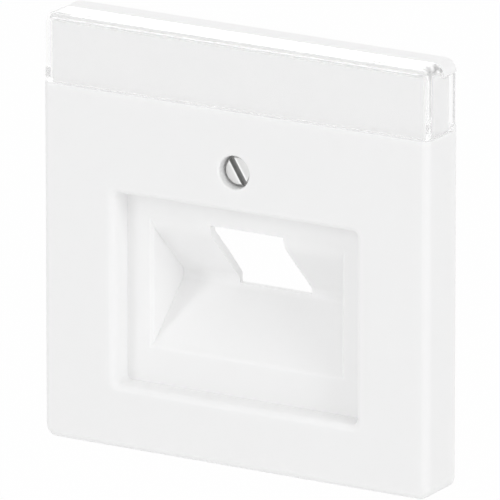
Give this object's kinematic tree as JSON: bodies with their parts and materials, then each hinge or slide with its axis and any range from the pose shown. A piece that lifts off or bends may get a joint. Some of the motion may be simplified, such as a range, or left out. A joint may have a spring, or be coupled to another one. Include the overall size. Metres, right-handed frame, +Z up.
{
  "type": "data outlet cover plate",
  "caption": "Square white wall cover plate with a sunk recess, a V-shaped plug well and sloping jack opening, a captive slotted screw and a clear pull-off label window.",
  "frame": {"origin": "centre of the rim's rear plane, which lies against the wall-side frame", "axes": "+X right and +Z up seen from the front, +Y away from the viewer towards the wall"},
  "size_m": [0.063, 0.018, 0.063],
  "materials": {
    "white_plastic": "gloss white moulding",
    "clear_plastic": "clear, polished",
    "white_card": "matt blank card",
    "plated_steel": "bright zinc plated",
    "natural_nylon": "natural nylon"
  },
  "bodies": {
    "plate": {"cover_plate": "white_plastic", "label_card": "white_card"},
    "window": {"label_window": "clear_plastic"},
    "screw": {"fixing_screw": "plated_steel", "screw_retainer": "natural_nylon"}
  },
  "joints": [
    {"name": "window_pull", "type": "slide", "parent": "plate", "child": "window", "axis": [0, -1, 0], "range_m": [0, 0.008]},
    {"name": "screw_turn", "type": "hinge", "parent": "plate", "child": "screw", "pos_m": [0, 0, 0.01225], "axis": [0, 1, 0], "continuous": true}
  ]
}
